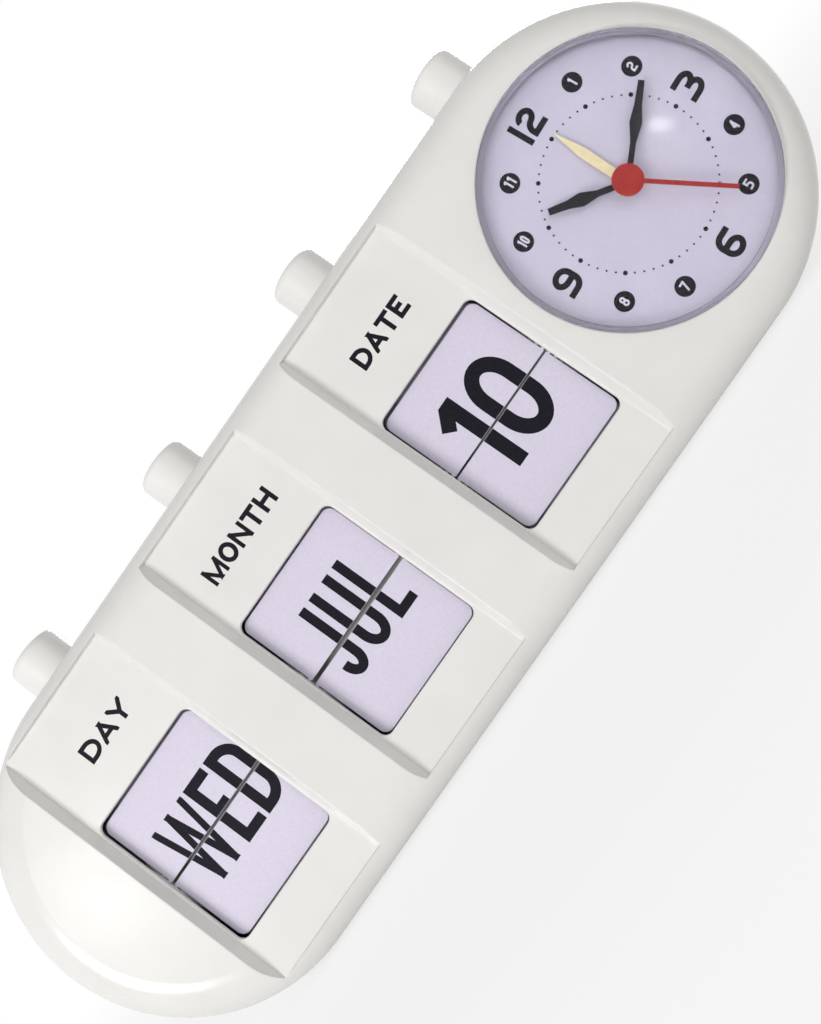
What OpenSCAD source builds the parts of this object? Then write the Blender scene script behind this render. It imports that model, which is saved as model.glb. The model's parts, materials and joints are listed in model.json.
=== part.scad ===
// Calendar alarm clock: a long pill-shaped case that leans back on a flat base,
// three flip-card units worked by push buttons, and a quartz alarm clock at one end.

/* [Case] */
// Length of the case
body_len = 240; // [239:1:260]
// Height of the case, measured up the leaning front
body_h = 82; // [81:1:86]
// Depth of the case, square to the front
body_depth = 50; // [50:1:58]
// Radius of the rounded front and rear edges
edge_r = 9; // [7:0.5:10]
// Wall thickness of the two shells
wall = 2.2; // [1.8:0.1:2.4]
// Angle that the front leans back
lean = 12; // [8:1:14]
// Depth of the joint between the front and the back shell
split_depth = 35; // [34:0.5:37]
// Diameter of each foot pad
foot_d = 8; // [6:0.5:10]
// Height of each foot pad
foot_h = 1; // [0.8:0.1:2]
// Distance of the foot pads from the middle
foot_x = 57; // [50:1:65]
// Distance of the front foot pads behind the middle of the front
foot_front = 10; // [8:0.5:12]
// Distance of the rear foot pads behind the middle of the front
foot_rear = 36; // [33:0.5:37]

/* [Calendar] */
// Distance from the left end of the case to the middle of the day unit
day_margin = 46; // [45.6:0.1:46.4]
// Distance from the middle of the date unit to the clock's axis
clock_pitch = 53; // [52.8:0.1:53.8]
// Width of the floor of each sunk channel
channel_w = 33.4; // [32.8:0.1:34]
// Depth of each sunk channel
channel_depth = 3; // [2.4:0.1:3.4]
// Slope of the channel's side walls, as extra width at the front
channel_draft = 1.6; // [1:0.1:2]
// Distance that the channels stop short of the top and bottom edges
channel_stop = 4; // [3:0.5:6]
// Thickness of the channel floor
channel_floor = 1.2; // [1:0.1:1.4]
// Width of each card window
window_w = 32.2; // [32.2:0.1:32.8]
// Corner radius of the windows and cards
window_r = 2; // [1:0.2:3]
// Height of the card split below the middle of the case
split_drop = 6.4; // [5:0.1:6.5]
// Card leaves on the day drum
day_leaves = 28; // [28:7:28]
// Card leaves on the month drum
month_leaves = 24; // [24:12:24]
// Card leaves on the date drum
date_leaves = 31; // [31:1:31]
// Length of a card leaf from its pivot
leaf_len = 17.9; // [16.5:0.1:18]
// Width of a card leaf
leaf_w = 31.6; // [31:0.1:31.8]
// Thickness of a card leaf
leaf_t = 0.2; // [0.15:0.01:0.22]
// Radius of the circle of leaf pivots
pivot_r = 8; // [7.8:0.1:8.6]
// Diameter of a leaf pivot pin
pin_d = 0.9; // [0.8:0.05:1]
// Diameter of the drum axle
axle_d = 3; // [2.4:0.1:3.6]
// Radial clearance of a running pin or shaft
run_gap = 0.06; // [0.04:0.01:0.08]

/* [Buttons] */
// Diameter of the push buttons
button_d = 14; // [12:0.5:15]
// Height of the buttons above the top of the case
button_h = 11.5; // [8:0.5:12]
// Distance of the buttons behind the front
button_depth = 25; // [24:0.5:26]
// Travel of the buttons
travel = 1.6; // [1.4:0.1:1.7]
// Radial gap around a button in its hole
button_gap = 0.3; // [0.2:0.05:0.5]
// Diameter of a button stem
stem_d = 5; // [4:0.5:5.5]
// Wire diameter of the return springs
wire_d = 0.5; // [0.4:0.1:0.6]
// Turns of each return spring
spring_turns = 4; // [3:1:5]

/* [Clock] */
// Distance of the clock's axis beyond the centre of the round end
clock_out = 3.2; // [1.5:0.1:3.4]
// Distance of the clock's axis below the middle of the case
clock_drop = 1; // [0:0.1:1.2]
// Radius of the clear lens
lens_r = 30.75; // [30:0.25:31]
// Height of the lens above the front
lens_rise = 4.5; // [4.5:0.25:6]
// Height of the straight rim of the lens above the front
lens_rim = 1; // [0.6:0.1:1.6]
// Thickness of the lens
lens_t = 1.2; // [1:0.1:1.4]
// Length of the minute hand
minute_len = 20.5; // [18:0.5:23]
// Length of the hour hand
hour_len = 17; // [14:0.2:18]
// Length of the second hand
second_len = 22; // [20:0.5:24]
// Length of the alarm hand
alarm_len = 18.5; // [16:0.5:20]
// Hour that the hands show
show_hour = 10; // [0:1:11]
// Minute that the hands show
show_minute = 10; // [0:1:59]
// Second that the hands show
show_second = 25; // [0:1:59]
// Width and height of the movement case
movement_w = 46; // [44:1:47]
// Depth of the movement case
movement_t = 16; // [15:0.5:18]
// Gear module of the movement's wheels
gear_m = 0.4; // [0.38:0.01:0.42]

/* [Hidden] */
$fn = 64;
eps = 0.01;
far = 400;

// Colours
case_white = [0.92, 0.91, 0.88];
card_white = [0.84, 0.82, 0.90];
inner_grey = [0.55, 0.56, 0.58];
steel = [0.75, 0.76, 0.78];
brass = [0.80, 0.66, 0.35];
black = [0.08, 0.07, 0.10];
red = [0.80, 0.18, 0.16];
cream = [0.92, 0.86, 0.66];
clear = [0.9, 0.93, 0.95, 0.35];
board_green = [0.16, 0.42, 0.26];

// Case: places in the leaning frame, where y is the depth behind the front and z runs up it
end_r = body_h / 2;
end_x = body_len / 2 - end_r;
clock_x = end_x + clock_out;
clock_z = -clock_drop;
day_x = day_margin - body_len / 2;
date_x = clock_x - clock_pitch;
unit_pitch = (date_x - day_x) / 2;
base_bite = 0.3;
seat_gap = 0.1;
edge_z = end_r - edge_r;
place_z = foot_h + edge_r - base_bite + edge_r * sin(lean) + edge_z * cos(lean);
front_reach = lens_rim * cos(lean) + (lens_r + clock_drop) * sin(lean);
rear_reach = (body_depth - edge_r) * cos(lean) + edge_z * sin(lean) + edge_r;
place_y = (front_reach - rear_reach) / 2;
top_in = end_r - wall;
foot_front_y = place_y + foot_front;
foot_rear_y = place_y + foot_rear;

// Screws that hold the back shell
screw_d = 2.6;
screw_head_d = 5;
screw_head_t = 1.6;
boss_d = 6;
screw_len = 12;
screw_gap = 0.25;
screw_seat_y = split_depth + 5;
screw_tip_y = screw_seat_y - screw_len;
back_boss_d = 7.4;
low_screw_z = -14;
high_screw_z = top_in - boss_d - 0.8;
end_screw_r = top_in - 1;
end_screw_turn = 27;
day_screw_out = 27.8;
row_screw_in = 1;
screw_places = [
    [day_x - day_screw_out, 0],
    [day_x + unit_pitch / 2 - row_screw_in, low_screw_z],
    [day_x + unit_pitch / 2 - row_screw_in, high_screw_z],
    [date_x - unit_pitch / 2 - row_screw_in, low_screw_z],
    [date_x - unit_pitch / 2 - row_screw_in, high_screw_z],
    [end_x + end_screw_r * cos(end_screw_turn), end_screw_r * sin(end_screw_turn)]
];

// Calendar: places in each unit's own frame, where x is measured from its middle
unit_xs = [day_x, day_x + unit_pitch, date_x];
unit_leaves = [day_leaves, month_leaves, date_leaves];
channel_top = end_r - channel_stop;
floor_back = channel_depth + channel_floor;
leaf_gap = 0.9;
drum_y = floor_back + leaf_gap + leaf_t / 2 + pivot_r;
drum_z = -split_drop;
leaf_root = 0.25;
leaf_foot = 0.55;
leaf_tab = 0.15;
leaf_lap = 0.3;
leaf_lap_low = 0.4;
disc_in = leaf_w / 2 + 0.3;
disc_t = 1.2;
disc_gap = 0.25;
disc_out = disc_in + disc_t;
disc_r = drum_y - floor_back - disc_gap;
hub_r = axle_d / 2 + 2;
plate_in = disc_out + 0.5;
plate_t = 1.5;
plate_out = plate_in + plate_t;
ratchet_in = plate_out + 0.5;
ratchet_t = 1.6;
ratchet_out = ratchet_in + ratchet_t;
axle_cap = 1;
channel_back_w = 2 * plate_out;
fan_back = 176;

// Windows follow the leaves that swing out through them
pivot_lift = pivot_r * sin(180 / min(unit_leaves));
window_top = drum_z + pivot_lift + leaf_len + leaf_lap;
window_bottom = drum_z - pivot_lift - leaf_len - leaf_lap_low;

// Ratchet teeth, one for each leaf
tooth_h = 0.9;
nib_h = 0.7;
nib_slope = 1.2;
arm_gap = 0.5;
pawl_gap = 0.3;
pawl_w = 1.4;
function ratchet_r(u) = travel * unit_leaves[u] / (2 * PI);

// Buttons: heights in the leaning frame
flange_d = button_d + 3;
flange_top = top_in - 0.3;
flange_t = 2;
flange_low = flange_top - flange_t;
bridge_t = 2;
spring_room = 6;
bridge_top = flange_low - spring_room;
bridge_low = bridge_top - bridge_t;
arm_t = 2;
arm_top = bridge_low - 2.2;
arm_low = arm_top - arm_t;
arm_w = 4;
frame_back = 33;
frame_drop = 12;
frame_low = drum_z - frame_drop;
button_edge = 1.6;
spring_r = stem_d / 2 + wire_d / 2 + 0.5;
coil_steps = 12;
wire_sides = 6;
alarm_x = clock_x - 0.5;
alarm_flange_top = sqrt(pow(top_in, 2) - pow(alarm_x - end_x + flange_d / 2, 2)) - 0.3;
switch_w = 6;
switch_h = 4;
switch_gap = 0.3;
switch_top = bridge_low - 3.2;
shelf_w = 18;
shelf_lap = 4;
shelf_low = clock_z + movement_w / 2 - shelf_lap;

// Clock: depths behind the front
hole_gap = 0.15;
dome_h = lens_rise - lens_rim;
dome_r = (pow(lens_r, 2) + pow(dome_h, 2)) / (2 * dome_h);
flange_r = lens_r + 1.2;
lens_flange_t = 1.1;
flange_y = wall + seat_gap;
dial_y = flange_y + lens_flange_t + seat_gap;
dial_t = 0.8;
movement_y = dial_y + dial_t + seat_gap;
movement_back = movement_y + movement_t;
movement_wall = 1.2;
movement_room_y = movement_y + movement_wall;
cover_t = 1.2;
cover_y = movement_back - cover_t;
hand_t = 0.4;
hand_step = 0.85;
belly_start = 0.38;
belly_mid = 0.58;
belly_end = 0.75;
shoulder = 1.25;
alarm_y = dial_y - 0.5 - hand_t;
hour_y = alarm_y - hand_step;
minute_y = hour_y - hand_step;
second_y = minute_y - hand_step;
second_r = 0.4;
tube_t = 0.45;
minute_in = second_r + run_gap;
minute_out = minute_in + tube_t;
hour_in = minute_out + run_gap;
hour_out = hour_in + tube_t;
alarm_in = hour_out + run_gap;
alarm_out = alarm_in + tube_t;
dial_hole = alarm_out + run_gap;
gear_t = 1.4;
gear_gap = 0.5;
alarm_gear_y = movement_room_y + 0.4;
hour_gear_y = alarm_gear_y + gear_t + gear_gap;
minute_gear_y = hour_gear_y + gear_t + gear_gap;
cannon_teeth = 12;
idler_teeth = 36;
idler_pinion = 10;
hour_teeth = 40;
train_distance = gear_m * (cannon_teeth + idler_teeth) / 2;
hour_m = 2 * train_distance / (idler_pinion + hour_teeth);
alarm_teeth = 30;
alarm_distance = gear_m * alarm_teeth;
idler_arbor_r = 0.8;
set_arbor_r = 1.5;
arbor_gap = 0.25;
arbor_front_y = movement_y + 0.4;
idler_back_y = movement_back - 0.4;
tooth_form = [[-0.31, -1.15], [-0.1, 0.8], [0.1, 0.8], [0.31, -1.15]];
knob_d = 11;
knob_t = 4;
knob_gap = 0.4;
knob_grip = 3;
knob_ribs = 18;
knob_y = body_depth + knob_gap;
hour_turn = 30 * (show_hour + show_minute / 60 + show_second / 3600);
minute_turn = 6 * (show_minute + show_second / 60);
second_turn = 6 * show_second;
hour_hub = 2.4;
minute_hub = 1.9;
second_hub = 3.3;
second_wide = 0.9;
alarm_hub = 2.8;

// Battery bay behind the movement
battery_d = 14.5;
battery_len = 50.5;
battery_nub = 1;
bay_gap = 0.35;
tray_t = 1;
tray_gap = 0.3;
tray_w = battery_len + 2;
tray_h = battery_d + 1.2;
tray_back = body_depth - wall - tray_gap;
battery_y = tray_back - battery_d / 2 - 1;
tray_front = battery_y - battery_d / 2 - tray_gap;
contact_t = 0.4;
door_w = tray_w - 4;
door_h = tray_h - 1;
door_gap = 0.2;
door_r = 2;
bay_x = date_x + plate_out + bay_gap + tray_t + tray_w / 2;
bay_z = clock_z - knob_d / 2 - bay_gap - door_h / 2;
grip_pitch = 3;
grip_w = 1.2;
grip_d = 0.6;

// Electrical parts
board_w = 30;
board_h = 14;
board_t = 1.2;
board_z = 10;
board_y = movement_back + 3;
post_d = 4;
coil_d = 7;
coil_len = 12;
buzzer_d = 20;
buzzer_t = 4;
buzzer_x = end_x + 4;
buzzer_z = 17;
buzzer_y = body_depth - wall - seat_gap - buzzer_t;
sound_r = 5;
sound_d = 2;

// Puts a piece of the leaning frame in its place on the base
module tilted() {
    translate([0, place_y, place_z])
        rotate([-lean, 0, 0])
            children();
}

// Everything below a level plane
module below(level) {
    translate([-far, -far, level - far])
        cube([2 * far, 2 * far, far]);
}

// A box between two depths, over the whole case
module between(y0, y1) {
    translate([-far, y0, -far])
        cube([2 * far, y1 - y0, 2 * far]);
}

// A shaft or hole along the depth, from y0 to y1
module along_depth(r, y0, y1) {
    translate([0, y0, 0])
        rotate([-90, 0, 0])
            cylinder(r = r, h = y1 - y0);
}

// A shaft or hole along the length, from x0 to x1
module along_length(r, x0, x1) {
    translate([x0, 0, 0])
        rotate([0, 90, 0])
            cylinder(r = r, h = x1 - x0);
}

// Places children on the clock's axis
module at_clock() {
    translate([clock_x, 0, clock_z])
        children();
}

// A flat outline drawn in x and z, from depth y0 to y1
module plate(y0, y1) {
    translate([0, y1, 0])
        rotate([90, 0, 0])
            linear_extrude(y1 - y0)
                children();
}

// A rectangle with round corners
module rounded(w, h, r) {
    square([w - 2 * r, h], center = true);
    square([w, h - 2 * r], center = true);
    for (sx = [-1, 1], sz = [-1, 1])
        translate([sx * (w / 2 - r), sz * (h / 2 - r)])
            circle(r);
}

// Half of the case's section, from its middle line out
module half_section(inset) {
    r = edge_r - inset;
    high = end_r - inset;
    deep = body_depth - 2 * inset;
    translate([0, inset])
        square([high - r, deep]);
    translate([0, inset + r])
        square([high, deep - 2 * r]);
    for (y = [inset + r, body_depth - inset - r])
        translate([high - r, y])
            circle(r);
}

// The pill of the case, made smaller all round by the inset
module pill(inset) {
    for (side = [0, 1])
        mirror([side, 0, 0])
            translate([end_x, 0, 0])
                rotate([-90, 0, 0])
                    rotate([0, 0, -90])
                        rotate_extrude(angle = 180)
                            intersection() {
                                half_section(inset);
                                square(far);
                            }
    translate([-end_x, 0, 0])
        rotate([90, 0, 90])
            linear_extrude(2 * end_x)
                for (side = [0, 1])
                    mirror([0, side])
                        mirror([1, -1])
                            intersection() {
                                half_section(inset);
                                square(far);
                            }
}

// Outer solid of the case on its flat base
module case_outer() {
    difference() {
        tilted() pill(0);
        below(foot_h);
    }
}

// Room inside the case
module case_room() {
    difference() {
        tilted() pill(wall);
        below(foot_h + wall);
    }
}

// Sunk channel of a calendar unit, with sloping sides
module channel_cut() {
    wide = channel_w / 2 + channel_draft;
    translate([0, 0, -channel_top])
        linear_extrude(2 * channel_top)
            polygon([
                [-wide, 0],
                [-wide - channel_draft, -channel_depth],
                [wide + channel_draft, -channel_depth],
                [wide, 0],
                [channel_w / 2, channel_depth],
                [-channel_w / 2, channel_depth]
            ]);
}

// Material behind a channel
module channel_back() {
    wide = channel_back_w / 2;
    translate([-wide, wall / 2, -channel_top - wall])
        cube([2 * wide, floor_back - wall / 2, 2 * (channel_top + wall)]);
}

// Opening for the cards in the channel floor
module window_cut() {
    translate([0, 0, (window_top + window_bottom) / 2])
        plate(0, floor_back + wall)
            rounded(window_w, window_top - window_bottom, window_r);
}

// Hole for a button in the top of the case
module button_hole() {
    translate([0, button_depth, top_in - wall])
        cylinder(r = button_d / 2 + button_gap, h = body_h);
}

module front_shell() {
    color(case_white)
        difference() {
            union() {
                intersection() {
                    difference() {
                        case_outer();
                        case_room();
                    }
                    tilted() between(-far, split_depth);
                }
                intersection() {
                    case_outer();
                    tilted() {
                        for (x = unit_xs)
                            translate([x, 0, 0]) channel_back();
                        for (p = screw_places)
                            translate([p[0], 0, p[1]]) along_depth(boss_d / 2, wall / 2, split_depth);
                    }
                }
            }
            tilted() {
                for (x = unit_xs)
                    translate([x, 0, 0]) {
                        channel_cut();
                        window_cut();
                        button_hole();
                    }
                translate([alarm_x, 0, 0]) button_hole();
                at_clock() {
                    along_depth(lens_r + hole_gap, -wall, 2 * wall);
                    along_depth(flange_r + hole_gap, wall, movement_y);
                }
                for (p = screw_places)
                    translate([p[0], 0, p[1]]) along_depth(screw_d / 2, screw_tip_y - 1, split_depth + 1);
            }
        }
}

module back_shell() {
    color(case_white)
        difference() {
            union() {
                intersection() {
                    difference() {
                        case_outer();
                        case_room();
                    }
                    tilted() between(split_depth, far);
                }
                intersection() {
                    case_outer();
                    tilted()
                        for (p = screw_places)
                            translate([p[0], 0, p[1]]) along_depth(back_boss_d / 2, split_depth, body_depth);
                }
            }
            tilted() {
                translate([bay_x, 0, bay_z])
                    plate(body_depth - 2 * wall, body_depth + 1)
                        rounded(door_w + 2 * door_gap, door_h + 2 * door_gap, door_r + door_gap);
                for (x = [0, -alarm_distance])
                    at_clock()
                        translate([x, 0, 0])
                            along_depth(set_arbor_r + arbor_gap, body_depth - 2 * wall, body_depth + 1);
                for (turn = [0 : 60 : 300])
                    translate([buzzer_x + sound_r * cos(turn), 0, buzzer_z + sound_r * sin(turn)])
                        along_depth(sound_d / 2, body_depth - 2 * wall, body_depth + 1);
                for (p = screw_places)
                    translate([p[0], 0, p[1]]) {
                        along_depth(screw_d / 2 + screw_gap, split_depth - 1, body_depth + 1);
                        along_depth(screw_head_d / 2 + screw_gap, screw_seat_y, body_depth + 1);
                    }
            }
        }
}

module battery_door() {
    color(case_white)
        tilted()
            translate([bay_x, 0, bay_z])
                difference() {
                    plate(body_depth - wall, body_depth)
                        rounded(door_w, door_h, door_r);
                    for (k = [-2 : 2])
                        translate([k * grip_pitch, body_depth, 0])
                            plate(-grip_d, 1)
                                square([grip_w, door_h / 2], center = true);
                }
}

module feet() {
    color(inner_grey)
        for (x = [-foot_x, foot_x], y = [foot_front_y, foot_rear_y])
            translate([x, y, 0])
                cylinder(d = foot_d, h = foot_h);
}

module case_screws() {
    color(steel)
        tilted()
            for (p = screw_places)
                translate([p[0], 0, p[1]]) {
                    along_depth(screw_d / 2, screw_tip_y, screw_seat_y);
                    difference() {
                        along_depth(screw_head_d / 2, screw_seat_y, screw_seat_y + screw_head_t);
                        for (turn = [0, 90])
                            rotate([0, turn, 0])
                                translate([0, screw_seat_y + screw_head_t, 0])
                                    plate(-screw_head_t / 2, 1)
                                        square([screw_head_d * 0.7, 0.8], center = true);
                    }
                }
}

// Turns a profile of radius and depth round the clock's axis
module turned() {
    at_clock()
        rotate([-90, 0, 0])
            rotate_extrude($fn = 128)
                intersection() {
                    children();
                    translate([0, -far])
                        square([far, 2 * far]);
                }
}

module lens() {
    color(clear)
        tilted()
            turned()
                union() {
                    intersection() {
                        translate([0, dome_r - lens_rise])
                            difference() {
                                circle(dome_r, $fn = 256);
                                circle(dome_r - lens_t, $fn = 256);
                            }
                        translate([0, -lens_rise])
                            square([lens_r, lens_rise]);
                    }
                    translate([lens_r - lens_t, -lens_rim])
                        square([lens_t, lens_rim + flange_y + lens_flange_t]);
                    translate([lens_r - lens_t, flange_y])
                        square([flange_r - lens_r + lens_t, lens_flange_t]);
                }
}

module dial_plate() {
    color(card_white)
        tilted()
            at_clock()
                difference() {
                    along_depth(flange_r, dial_y, dial_y + dial_t);
                    along_depth(dial_hole, dial_y - 1, dial_y + dial_t + 1);
                }
}

module movement_case() {
    color(inner_grey)
        tilted()
            at_clock()
                difference() {
                    plate(movement_y, cover_y)
                        square(movement_w, center = true);
                    plate(movement_room_y, cover_y + 1)
                        square(movement_w - 2 * movement_wall, center = true);
                    along_depth(dial_hole, movement_y - 1, movement_room_y + 1);
                    translate([0, 0, train_distance])
                        along_depth(idler_arbor_r + run_gap, arbor_front_y - seat_gap, movement_room_y + 1);
                    translate([-alarm_distance, 0, 0])
                        along_depth(set_arbor_r + run_gap, arbor_front_y - seat_gap, movement_room_y + 1);
                }
}

module movement_cover() {
    color(inner_grey)
        tilted()
            difference() {
                union() {
                    at_clock() {
                        plate(cover_y, movement_back)
                            square(movement_w, center = true);
                        for (side = [-1, 1])
                            translate([side * (board_w / 2 - post_d), 0, board_z])
                                along_depth(post_d / 2, movement_back, board_y);
                    }
                    translate([alarm_x - shelf_w / 2, cover_y, shelf_low])
                        cube([shelf_w, cover_t, bridge_top - shelf_low]);
                    translate([alarm_x - shelf_w / 2, cover_y, bridge_low])
                        cube([shelf_w, frame_back - cover_y, bridge_t]);
                }
                at_clock() {
                    along_depth(set_arbor_r + run_gap, cover_y - 1, movement_back + 1);
                    translate([-alarm_distance, 0, 0])
                        along_depth(set_arbor_r + run_gap, cover_y - 1, movement_back + 1);
                    translate([0, 0, train_distance])
                        along_depth(idler_arbor_r + run_gap, cover_y - 1, idler_back_y + seat_gap);
                }
                translate([alarm_x, button_depth, bridge_low - 1])
                    cylinder(r = stem_d / 2 + run_gap, h = bridge_t + 2);
            }
}

module circuit_board() {
    color(board_green)
        tilted()
            at_clock()
                translate([0, 0, board_z])
                    plate(board_y, board_y + board_t)
                        square([board_w, board_h], center = true);
}

module coil() {
    color(brass)
        tilted()
            at_clock()
                translate([0, board_y + board_t + coil_d / 2, board_z]) {
                    along_length(coil_d / 2 - 0.8, -coil_len / 2, coil_len / 2);
                    for (x = [-coil_len / 2 - 1, coil_len / 2])
                        translate([x, -coil_d / 2, -coil_d / 2])
                            cube([1, coil_d, coil_d]);
                }
}

module buzzer() {
    color(black)
        tilted()
            translate([buzzer_x, 0, buzzer_z])
                difference() {
                    along_depth(buzzer_d / 2, buzzer_y, buzzer_y + buzzer_t);
                    along_depth(sound_d, buzzer_y + buzzer_t / 2, buzzer_y + buzzer_t + 1);
                }
}

module battery() {
    color(steel)
        tilted()
            translate([bay_x, battery_y, bay_z]) {
                along_length(battery_d / 2, -battery_len / 2, battery_len / 2 - battery_nub);
                along_length(battery_d / 6, battery_len / 2 - battery_nub, battery_len / 2);
            }
}

module battery_tray() {
    color(inner_grey)
        tilted()
            translate([bay_x, 0, bay_z])
                difference() {
                    plate(tray_front - tray_t, tray_back)
                        square([tray_w + 2 * tray_t, tray_h + 2 * tray_t], center = true);
                    plate(tray_front, tray_back + 1)
                        square([tray_w, tray_h], center = true);
                }
}

module battery_contacts() {
    color(steel)
        tilted()
            translate([bay_x, battery_y, bay_z])
                for (side = [0, 1])
                    mirror([side, 0, 0]) {
                        translate([tray_w / 2 - contact_t, -battery_d / 3, -battery_d / 3])
                            cube([contact_t, battery_d * 2 / 3, battery_d * 2 / 3]);
                        along_length(battery_d / 8, battery_len / 2 + seat_gap, tray_w / 2 - contact_t);
                    }
}

module alarm_switch() {
    color(black)
        tilted()
            translate([alarm_x - switch_w / 2, movement_back, switch_top - switch_h])
                cube([switch_w, button_depth + switch_w / 2 - movement_back, switch_h]);
}

// Push button with its retaining flange and stem
module push_button(flange_up, stem_low) {
    low = flange_up - flange_t;
    translate([0, button_depth, 0]) {
        rotate_extrude() {
            translate([0, low])
                square([flange_d / 2, flange_t]);
            translate([0, low])
                square([button_d / 2, end_r + button_h - button_edge - low]);
            translate([0, low])
                square([button_d / 2 - button_edge, end_r + button_h - low]);
            intersection() {
                translate([button_d / 2 - button_edge, end_r + button_h - button_edge])
                    circle(button_edge);
                square(far);
            }
        }
        translate([0, 0, stem_low])
            cylinder(d = stem_d, h = low - stem_low + flange_t / 2);
    }
}

// Points of a spring's wire, ring by ring
function coil_points(r, z0, z1, turns) = [
    for (i = [0 : turns * coil_steps])
        let (turn = 360 * i / coil_steps, z = z0 + (z1 - z0) * i / (turns * coil_steps))
            for (k = [0 : wire_sides - 1])
                let (b = 360 * k / wire_sides, out = r + wire_d / 2 * cos(b))
                    [out * cos(turn), out * sin(turn), z + wire_d / 2 * sin(b)]
];

// Triangles of a tube of rings, closed at both ends
function tube_faces(rings) = concat(
    [for (i = [0 : rings - 2], k = [0 : wire_sides - 1])
        let (a = i * wire_sides + k, b = i * wire_sides + (k + 1) % wire_sides)
            [a, a + wire_sides, b]],
    [for (i = [0 : rings - 2], k = [0 : wire_sides - 1])
        let (a = i * wire_sides + k, b = i * wire_sides + (k + 1) % wire_sides)
            [b, a + wire_sides, b + wire_sides]],
    [for (k = [1 : wire_sides - 2]) [0, k, k + 1]],
    [for (k = [1 : wire_sides - 2])
        let (last = (rings - 1) * wire_sides)
            [last, last + k + 1, last + k]]
);

// Return spring between a support and a button's flange
module return_spring(support, flange) {
    margin = wire_d / 2 + seat_gap;
    translate([0, button_depth, 0])
        polyhedron(
            points = coil_points(spring_r, support + margin, flange - margin, spring_turns),
            faces = tube_faces(spring_turns * coil_steps + 1)
        );
}

module alarm_button() {
    color(case_white)
        tilted()
            translate([alarm_x, 0, 0])
                push_button(alarm_flange_top, switch_top + travel + switch_gap);
}

module alarm_button_spring() {
    color(steel)
        tilted()
            translate([alarm_x, 0, 0])
                return_spring(bridge_top, alarm_flange_top - flange_t);
}

// Outline of a spur gear with straight-sided teeth
function gear_outline(teeth, m) = [
    for (i = [0 : teeth - 1], c = tooth_form)
        let (turn = 360 / teeth * (i + c[0]), r = m * (teeth / 2 + c[1]))
            [r * sin(turn), r * cos(turn)]
];

// Gear in the plane of the dial, its first tooth turned to the given angle
module gear(teeth, m, y, turn) {
    rotate([0, turn, 0])
        plate(y, y + gear_t)
            polygon(gear_outline(teeth, m));
}

module hour_wheel() {
    color(brass)
        tilted()
            at_clock()
                difference() {
                    union() {
                        along_depth(hour_out, hour_y, hour_gear_y + gear_t);
                        gear(hour_teeth, hour_m, hour_gear_y, 0);
                    }
                    along_depth(hour_in, hour_y - 1, hour_gear_y + gear_t + 1);
                }
}

module minute_arbor() {
    color(steel)
        tilted()
            at_clock()
                difference() {
                    union() {
                        along_depth(minute_out, minute_y, minute_gear_y + gear_t);
                        gear(cannon_teeth, gear_m, minute_gear_y, 0);
                        along_depth(set_arbor_r, minute_gear_y + gear_t, knob_y + knob_grip);
                    }
                    along_depth(minute_in, minute_y - 1, minute_gear_y + seat_gap);
                }
}

module idler_wheel() {
    color(brass)
        tilted()
            at_clock()
                translate([0, 0, train_distance]) {
                    along_depth(idler_arbor_r, arbor_front_y, idler_back_y);
                    gear(idler_teeth, gear_m, minute_gear_y, 180 / idler_teeth);
                    gear(idler_pinion, hour_m, hour_gear_y, 180 / idler_pinion);
                }
}

module second_arbor() {
    color(steel)
        tilted()
            at_clock()
                along_depth(second_r, second_y, minute_gear_y);
}

module alarm_wheel() {
    color(brass)
        tilted()
            at_clock()
                difference() {
                    union() {
                        along_depth(alarm_out, alarm_y, alarm_gear_y + gear_t);
                        gear(alarm_teeth, gear_m, alarm_gear_y, 0);
                    }
                    along_depth(alarm_in, alarm_y - 1, alarm_gear_y + gear_t + 1);
                }
}

module alarm_set_arbor() {
    color(steel)
        tilted()
            at_clock()
                translate([-alarm_distance, 0, 0]) {
                    along_depth(set_arbor_r, arbor_front_y, knob_y + knob_grip);
                    gear(alarm_teeth, gear_m, alarm_gear_y, 180 / alarm_teeth);
                }
}

// Ribbed setting knob
module knob() {
    difference() {
        along_depth(knob_d / 2, knob_y, knob_y + knob_t);
        along_depth(set_arbor_r, knob_y - 1, knob_y + knob_grip);
        for (turn = [0 : 360 / knob_ribs : 359])
            rotate([0, turn, 0])
                translate([knob_d / 2 + 0.3, 0, 0])
                    along_depth(0.8, knob_y - 1, knob_y + knob_t + 1);
    }
}

module time_set_knob() {
    color(black)
        tilted()
            at_clock()
                knob();
}

module alarm_set_knob() {
    color(black)
        tilted()
            at_clock()
                translate([-alarm_distance, 0, 0])
                    knob();
}

// Hand of the clock: a hub on its shaft and an outline that points up
module hand(y, turn, hub, bore) {
    tilted()
        at_clock()
            rotate([0, turn, 0])
                difference() {
                    union() {
                        plate(y, y + hand_t) children();
                        along_depth(hub, y, y + hand_t);
                    }
                    along_depth(bore, y - 1, y + hand_t + 1);
                }
}

// Lozenge hand outline: a stem, a belly past the middle and a narrow blunt tip
module lozenge(long, stem, belly, tip) {
    half = [
        [stem / 2, 0],
        [stem / 2, long * belly_start],
        [belly / 2, long * belly_mid],
        [tip * shoulder / 2, long * belly_end],
        [tip / 2, long]
    ];
    polygon(concat(half, [for (k = [len(half) - 1 : -1 : 0]) [-half[k][0], half[k][1]]]));
}

module hour_hand() {
    color(black)
        hand(hour_y, hour_turn, hour_hub, hour_out) lozenge(hour_len, 1.3, 2.9, 1.4);
}

module minute_hand() {
    color(black)
        hand(minute_y, minute_turn, minute_hub, minute_out) lozenge(minute_len, 1.2, 2.6, 1.3);
}

module second_hand() {
    color(red)
        hand(second_y, second_turn, second_hub, second_r)
            translate([-second_wide / 2, -second_hub])
                square([second_wide, second_len + second_hub]);
}

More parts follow.
